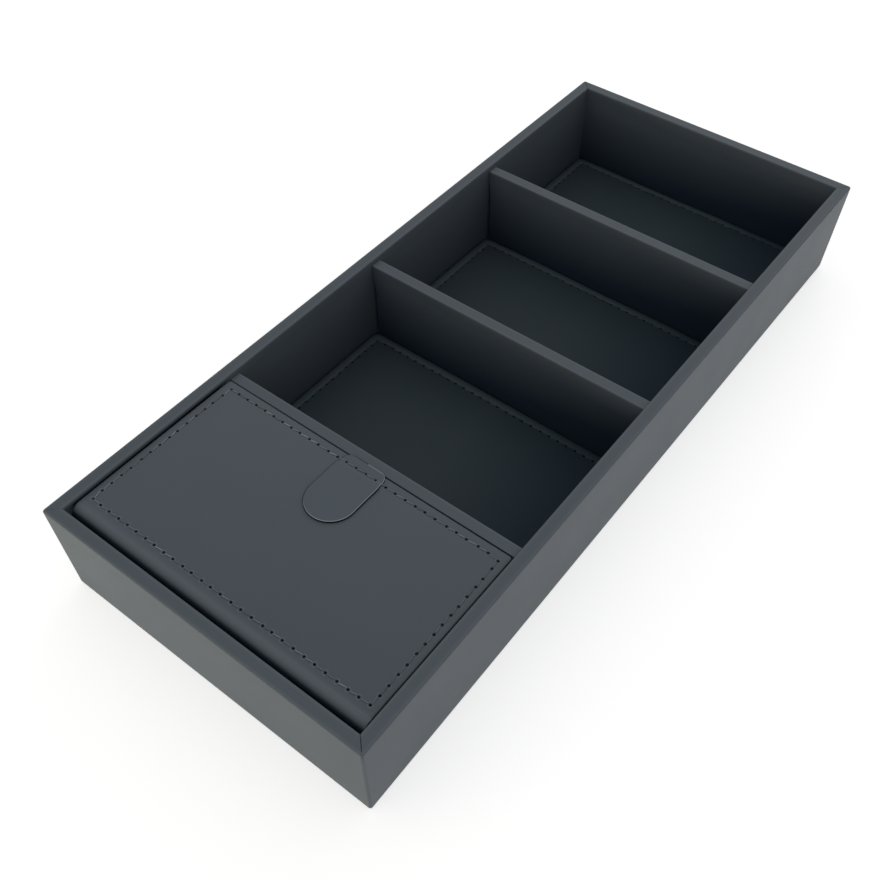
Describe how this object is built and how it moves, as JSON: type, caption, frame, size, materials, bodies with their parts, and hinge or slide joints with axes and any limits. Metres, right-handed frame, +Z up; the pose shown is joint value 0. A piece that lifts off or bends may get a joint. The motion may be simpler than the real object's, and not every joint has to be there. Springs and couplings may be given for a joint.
{
  "type": "leather covered organiser tray",
  "caption": "Long leather-covered desk tray with divided compartments and sewn floor mats, the end one shut by a padded lid on a leather hinge with a round pull tab.",
  "frame": {"origin": "middle of the flat underside that the tray rests on", "axes": "+Z up; +Y along the tray, away from the lidded end; +X across, so that the lid is at -Y and opens towards -Y"},
  "size_m": [0.168, 0.4, 0.053],
  "materials": {
    "tray_leather": "matte dark slate grey, smooth",
    "lid_leather": "matte dark slate grey, smooth",
    "tab_leather": "matte dark slate grey, smooth",
    "mat_leather": "matte dark slate grey, soft",
    "thread": "twisted grey thread",
    "fibreboard": "raw board",
    "foam": "thin foam",
    "lining_cloth": "dark lining",
    "flocked_sheet": "black flock"
  },
  "bodies": {
    "tray": {"back_wall_board": "fibreboard", "base_board": "fibreboard", "base_lining": "lining_cloth", "base_sole": "flocked_sheet", "divider_1_board": "fibreboard", "divider_1_cover": "tray_leather", "divider_2_board": "fibreboard", "divider_2_cover": "tray_leather", "divider_3_board": "fibreboard", "divider_3_cover": "tray_leather", "floor_mat_1_backing": "lining_cloth", "floor_mat_1_leather": "mat_leather", "floor_mat_1_padding": "foam", "floor_mat_1_stitching": "thread", "floor_mat_2_backing": "lining_cloth", "floor_mat_2_leather": "mat_leather", "floor_mat_2_padding": "foam", "floor_mat_2_stitching": "thread", "floor_mat_3_backing": "lining_cloth", "floor_mat_3_leather": "mat_leather", "floor_mat_3_padding": "foam", "floor_mat_3_stitching": "thread", "floor_mat_4_backing": "lining_cloth", "floor_mat_4_leather": "mat_leather", "floor_mat_4_padding": "foam", "floor_mat_4_stitching": "thread", "front_wall_board": "fibreboard", "left_lid_ledge_batten": "fibreboard", "left_lid_ledge_cover": "tray_leather", "left_wall_board": "fibreboard", "lid_hinge_flange": "lid_leather", "lid_hinge_roll": "lid_leather", "right_lid_ledge_batten": "fibreboard", "right_lid_ledge_cover": "tray_leather", "right_wall_board": "fibreboard", "wall_cover": "tray_leather"},
    "lid": {"lid_board": "fibreboard", "lid_padding": "foam", "lid_leather": "lid_leather", "lid_lining": "lining_cloth", "lid_stitching": "thread", "pull_tab_tail": "tab_leather", "pull_tab_stitching": "thread"},
    "pull_tab": {"pull_tab_leather": "tab_leather", "pull_tab_backing": "tab_leather"}
  },
  "joints": [
    {"name": "lid_hinge", "type": "hinge", "parent": "tray", "child": "lid", "pos_m": [0, -0.1926, 0.0494], "axis": [1, 0, 0], "range_deg": [0, 105], "deforming": ["lid_hinge_roll"]},
    {"name": "tab_fold", "type": "hinge", "parent": "lid", "child": "pull_tab", "pos_m": [0.002, -0.1075, 0.05175], "axis": [-1, 0, 0], "range_deg": [0, 140]}
  ]
}
